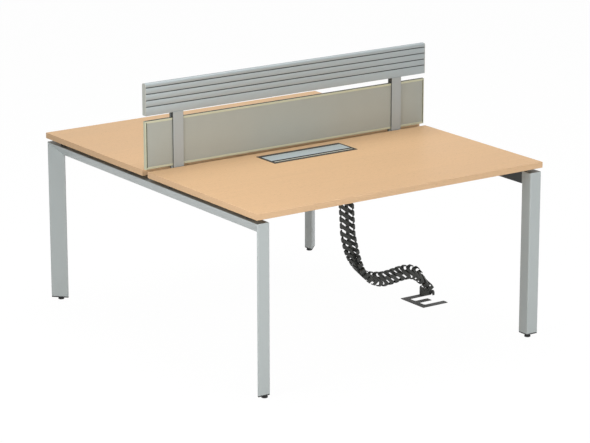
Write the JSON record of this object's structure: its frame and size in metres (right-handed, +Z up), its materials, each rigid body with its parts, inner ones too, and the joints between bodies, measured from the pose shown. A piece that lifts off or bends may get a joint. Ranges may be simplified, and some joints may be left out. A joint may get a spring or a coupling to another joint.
{
  "type": "two-person bench desk",
  "caption": "Back-to-back bench desk with wood tops on portal end frames, a shared fabric screen, a raised tool rail, hinged cable flaps and a cable spine down to a floor plate.",
  "frame": {"origin": "centre of the desk's footprint, on the floor", "axes": "+X along the desk to the near user's right, +Y from the near user across to the far user, +Z up"},
  "size_m": [1.4006, 1.6, 1.1],
  "materials": {
    "wood_top": "light beech laminate, satin",
    "wood_edge": "light beech edge band, satin",
    "silver_paint": "silver-grey powder coat, satin",
    "post_metal": "grey powder coat, satin",
    "dark_filler": "dark grey moulding, matte",
    "black_plastic": "black moulded plastic, matte",
    "zinc": "zinc plated fasteners",
    "board": "fibreboard core, raw",
    "panel_cloth": "woven grey-beige fabric",
    "panel_trim": "pale cream painted trim",
    "rail_metal": "satin anodised aluminium",
    "rail_cap": "light grey moulding",
    "lid_metal": "satin anodised aluminium",
    "strip_plastic": "light grey moulding",
    "spine_plastic": "dark grey moulded plastic, matte",
    "plate_steel": "dark grey powder coat, matte"
  },
  "bodies": {
    "desk": {"desktop_front": "wood_top", "desktop_rear": "wood_top", "edge_band_front": "wood_edge", "edge_band_rear": "wood_edge", "leg_front_left": "silver_paint", "leg_front_right": "silver_paint", "leg_rear_left": "silver_paint", "leg_rear_right": "silver_paint", "end_beam_left": "silver_paint", "end_beam_right": "silver_paint", "leg_end_caps": "black_plastic", "desktop_spacers": "black_plastic", "stretcher_front_outer": "silver_paint", "stretcher_front_inner": "silver_paint", "stretcher_rear_inner": "silver_paint", "stretcher_rear_outer": "silver_paint", "stretcher_end_plates": "silver_paint", "stretcher_bolts": "zinc", "stretcher_screws": "zinc", "cable_tray": "silver_paint", "tray_screws": "zinc", "post_left_front": "post_metal", "post_left_rear": "post_metal", "post_right_front": "post_metal", "post_right_rear": "post_metal", "post_lower_cores": "silver_paint", "post_upper_cores": "dark_filler", "post_bridges": "silver_paint", "post_bolts": "zinc", "post_pins": "zinc", "bridge_bolts": "zinc", "panel_board": "board", "panel_fabric_front": "panel_cloth", "panel_fabric_rear": "panel_cloth", "panel_frame_top": "panel_trim", "panel_frame_bottom": "panel_trim", "panel_frame_ends": "panel_trim", "tool_rail": "rail_metal", "tool_rail_cap_left": "rail_cap", "tool_rail_cap_right": "rail_cap", "flap_frame_front": "black_plastic", "flap_strip_front": "strip_plastic", "flap_pins_front": "zinc", "flap_frame_rear": "black_plastic", "flap_strip_rear": "strip_plastic", "flap_pins_rear": "zinc", "spine_bracket": "spine_plastic", "spine_links": "spine_plastic", "spine_foot": "spine_plastic", "floor_plate": "plate_steel"},
    "flap_lid_front": {"flap_lid_front": "lid_metal"},
    "flap_lid_rear": {"flap_lid_rear": "lid_metal"},
    "foot_front_left": {"foot_front_left": "black_plastic"},
    "foot_front_right": {"foot_front_right": "black_plastic"},
    "foot_rear_left": {"foot_rear_left": "black_plastic"},
    "foot_rear_right": {"foot_rear_right": "black_plastic"}
  },
  "joints": [
    {"name": "flap_lid_front_hinge", "type": "hinge", "parent": "desk", "child": "flap_lid_front", "pos_m": [0, -0.0905, 0.7405], "axis": [-1, 0, 0], "range_deg": [0, 95]},
    {"name": "flap_lid_rear_hinge", "type": "hinge", "parent": "desk", "child": "flap_lid_rear", "pos_m": [0, 0.0905, 0.7405], "axis": [1, 0, 0], "range_deg": [0, 95]},
    {"name": "foot_front_left_level", "type": "slide", "parent": "desk", "child": "foot_front_left", "axis": [0, 0, -1], "range_m": [-0.002, 0.012]},
    {"name": "foot_front_right_level", "type": "slide", "parent": "desk", "child": "foot_front_right", "axis": [0, 0, -1], "range_m": [-0.002, 0.012]},
    {"name": "foot_rear_left_level", "type": "slide", "parent": "desk", "child": "foot_rear_left", "axis": [0, 0, -1], "range_m": [-0.002, 0.012]},
    {"name": "foot_rear_right_level", "type": "slide", "parent": "desk", "child": "foot_rear_right", "axis": [0, 0, -1], "range_m": [-0.002, 0.012]}
  ]
}
